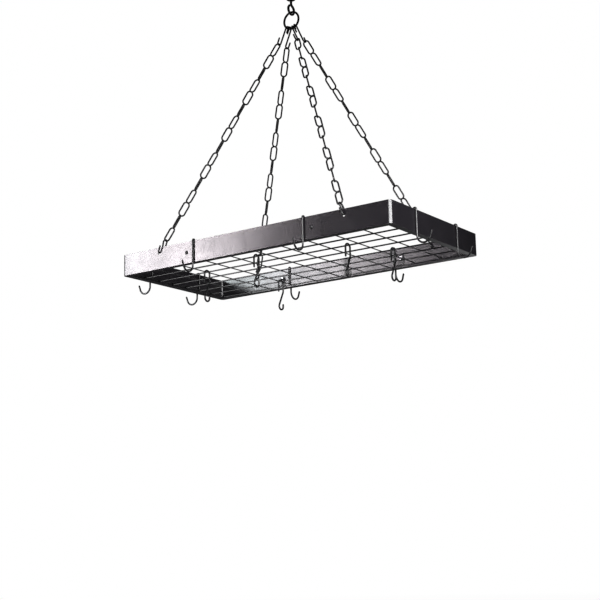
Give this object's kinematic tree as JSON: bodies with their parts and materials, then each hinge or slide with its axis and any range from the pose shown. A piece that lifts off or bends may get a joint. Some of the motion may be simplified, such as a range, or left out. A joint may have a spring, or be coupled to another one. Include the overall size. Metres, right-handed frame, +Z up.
{
  "type": "hanging pot rack",
  "caption": "Hanging pot rack: flat-bar frame with a wire grid, hung by chains from a ring on a ceiling hook, with sliding frame hooks and S-shaped pot hooks.",
  "frame": {"origin": "on the ceiling plane, on the axis of the ceiling hook's shank", "axes": "+Z up, along the shank into the ceiling; +X along the frame's long sides; +Y from the near long side to the far one"},
  "size_m": [1.0122, 0.5552, 0.9396],
  "materials": {
    "frame_coat": "satin powder coat, graphite black",
    "grid_coat": "satin powder coat, black",
    "chain_coat": "semi-gloss coat, black",
    "hook_coat": "semi-gloss powder coat, black",
    "strip_coat": "satin powder coat, black",
    "screw_steel": "zinc plated"
  },
  "bodies": {
    "ceiling_mount": {"ceiling_hook": "chain_coat"},
    "ring": {"gather_ring": "chain_coat"},
    "rack": {"band_frame": "frame_coat", "ledge_near": "frame_coat", "ledge_far": "frame_coat", "ledge_left": "frame_coat", "ledge_right": "frame_coat", "seam_strap": "strip_coat", "wire_grid": "grid_coat", "grid_clip_near_left": "strip_coat", "grid_clip_far_left": "strip_coat", "grid_clip_near_right": "strip_coat", "grid_clip_far_right": "strip_coat", "clip_screws": "screw_steel", "clip_nuts": "screw_steel", "frame_s_hook_near_left": "chain_coat", "frame_s_hook_far_left": "chain_coat", "frame_s_hook_near_right": "chain_coat", "frame_s_hook_far_right": "chain_coat", "chain_near_left": "chain_coat", "chain_far_left": "chain_coat", "chain_near_right": "chain_coat", "chain_far_right": "chain_coat", "top_s_hook_near_left": "chain_coat", "top_s_hook_far_left": "chain_coat", "top_s_hook_near_right": "chain_coat", "top_s_hook_far_right": "chain_coat"},
    "band_hook_near_left": {"band_hook_near_left": "hook_coat"},
    "band_hook_near_right": {"band_hook_near_right": "hook_coat"},
    "band_hook_far_left": {"band_hook_far_left": "hook_coat"},
    "band_hook_far_right": {"band_hook_far_right": "hook_coat"},
    "band_hook_left_near": {"band_hook_left_near": "hook_coat"},
    "band_hook_left_far": {"band_hook_left_far": "hook_coat"},
    "band_hook_right_near": {"band_hook_right_near": "hook_coat"},
    "band_hook_right_far": {"band_hook_right_far": "hook_coat"},
    "pot_hook_1": {"pot_hook_1": "hook_coat"},
    "pot_hook_2": {"pot_hook_2": "hook_coat"},
    "pot_hook_3": {"pot_hook_3": "hook_coat"},
    "pot_hook_4": {"pot_hook_4": "hook_coat"},
    "pot_hook_5": {"pot_hook_5": "hook_coat"}
  },
  "joints": [
    {"name": "ring_rock", "type": "hinge", "parent": "ceiling_mount", "child": "ring", "pos_m": [0, 0, -0.04971], "axis": [0, 1, 0], "range_deg": [-15, 15]},
    {"name": "rack_swing", "type": "hinge", "parent": "ring", "child": "rack", "pos_m": [0, 0, -0.09235], "axis": [1, 0, 0], "range_deg": [-12, 12]},
    {"name": "slide_band_hook_near_left", "type": "slide", "parent": "rack", "child": "band_hook_near_left", "axis": [1, 0, 0], "range_m": [-0.014, 0.15]},
    {"name": "slide_band_hook_near_right", "type": "slide", "parent": "rack", "child": "band_hook_near_right", "axis": [1, 0, 0], "range_m": [-0.15, 0.014]},
    {"name": "slide_band_hook_far_left", "type": "slide", "parent": "rack", "child": "band_hook_far_left", "axis": [1, 0, 0], "range_m": [-0.014, 0.15]},
    {"name": "slide_band_hook_far_right", "type": "slide", "parent": "rack", "child": "band_hook_far_right", "axis": [1, 0, 0], "range_m": [-0.15, 0.014]},
    {"name": "slide_band_hook_left_near", "type": "slide", "parent": "rack", "child": "band_hook_left_near", "axis": [0, 1, 0], "range_m": [-0.095, 0.098]},
    {"name": "slide_band_hook_left_far", "type": "slide", "parent": "rack", "child": "band_hook_left_far", "axis": [0, 1, 0], "range_m": [-0.098, 0.095]},
    {"name": "slide_band_hook_right_near", "type": "slide", "parent": "rack", "child": "band_hook_right_near", "axis": [0, 1, 0], "range_m": [-0.095, 0.098]},
    {"name": "slide_band_hook_right_far", "type": "slide", "parent": "rack", "child": "band_hook_right_far", "axis": [0, 1, 0], "range_m": [-0.098, 0.095]},
    {"name": "swing_pot_hook_1", "type": "hinge", "parent": "rack", "child": "pot_hook_1", "pos_m": [-0.254, -0.09043, -0.81109], "axis": [1, 0, 0], "range_deg": [-45, 45]},
    {"name": "swing_pot_hook_2", "type": "hinge", "parent": "rack", "child": "pot_hook_2", "pos_m": [-0.027, -0.15071, -0.81109], "axis": [1, 0, 0], "range_deg": [-45, 45]},
    {"name": "swing_pot_hook_3", "type": "hinge", "parent": "rack", "child": "pot_hook_3", "pos_m": [-0.167, 0.15071, -0.81109], "axis": [1, 0, 0], "range_deg": [-45, 45]},
    {"name": "swing_pot_hook_4", "type": "hinge", "parent": "rack", "child": "pot_hook_4", "pos_m": [0.235, -0.09043, -0.81109], "axis": [1, 0, 0], "range_deg": [-45, 45]},
    {"name": "swing_pot_hook_5", "type": "hinge", "parent": "rack", "child": "pot_hook_5", "pos_m": [0.303, 0.03014, -0.81109], "axis": [1, 0, 0], "range_deg": [-45, 45]}
  ]
}
